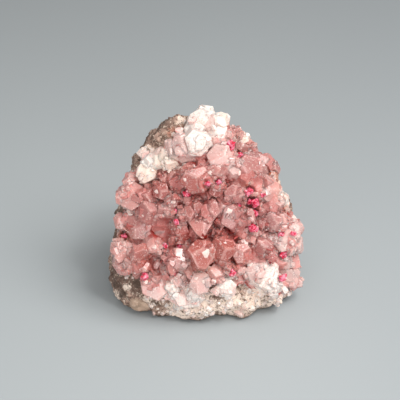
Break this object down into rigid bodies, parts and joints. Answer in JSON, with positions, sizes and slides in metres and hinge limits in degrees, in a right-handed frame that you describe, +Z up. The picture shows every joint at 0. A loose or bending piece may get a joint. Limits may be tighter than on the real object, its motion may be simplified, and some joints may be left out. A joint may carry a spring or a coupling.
{
  "type": "cobaltoan calcite specimen",
  "caption": "Mineral specimen of pale pink calcite crystals with small magenta cobalt-bearing ones, grown as a crust over rough host rock, standing on a flat broken base.",
  "frame": {"origin": "on the flat base, under the middle of the specimen's box", "axes": "+X across the specimen to the right as the crystal face is looked at, the crystal face towards -Y and up, +Z up"},
  "size_m": [0.0586, 0.0446, 0.0556],
  "materials": {
    "host_rock": "rough, broken grey-brown and beige rock with pale grains, matte",
    "pink_calcite": "translucent pale pink to white calcite with glassy crystal faces, frosted in places",
    "cobalt_calcite": "glassy magenta calcite"
  },
  "bodies": {
    "root": {"host_rock": "host_rock", "pink_calcite_crust": "pink_calcite", "cobalt_crystal_01": "cobalt_calcite", "cobalt_crystal_02": "cobalt_calcite", "cobalt_crystal_03": "cobalt_calcite", "cobalt_crystal_04": "cobalt_calcite", "cobalt_crystal_05": "cobalt_calcite", "cobalt_crystal_06": "cobalt_calcite", "cobalt_crystal_07": "cobalt_calcite", "cobalt_crystal_08": "cobalt_calcite", "cobalt_crystal_09": "cobalt_calcite", "cobalt_crystal_10": "cobalt_calcite", "cobalt_crystal_11": "cobalt_calcite", "cobalt_crystal_12": "cobalt_calcite", "cobalt_crystal_13": "cobalt_calcite", "cobalt_crystal_14": "cobalt_calcite", "cobalt_crystal_15": "cobalt_calcite", "cobalt_crystal_16": "cobalt_calcite", "cobalt_crystal_17": "cobalt_calcite", "cobalt_crystal_18": "cobalt_calcite", "cobalt_crystal_19": "cobalt_calcite", "cobalt_crystal_20": "cobalt_calcite", "cobalt_crystal_21": "cobalt_calcite", "cobalt_crystal_22": "cobalt_calcite", "cobalt_crystal_23": "cobalt_calcite", "cobalt_crystal_24": "cobalt_calcite", "cobalt_crystal_25": "cobalt_calcite", "cobalt_crystal_26": "cobalt_calcite"}
  },
  "joints": []
}
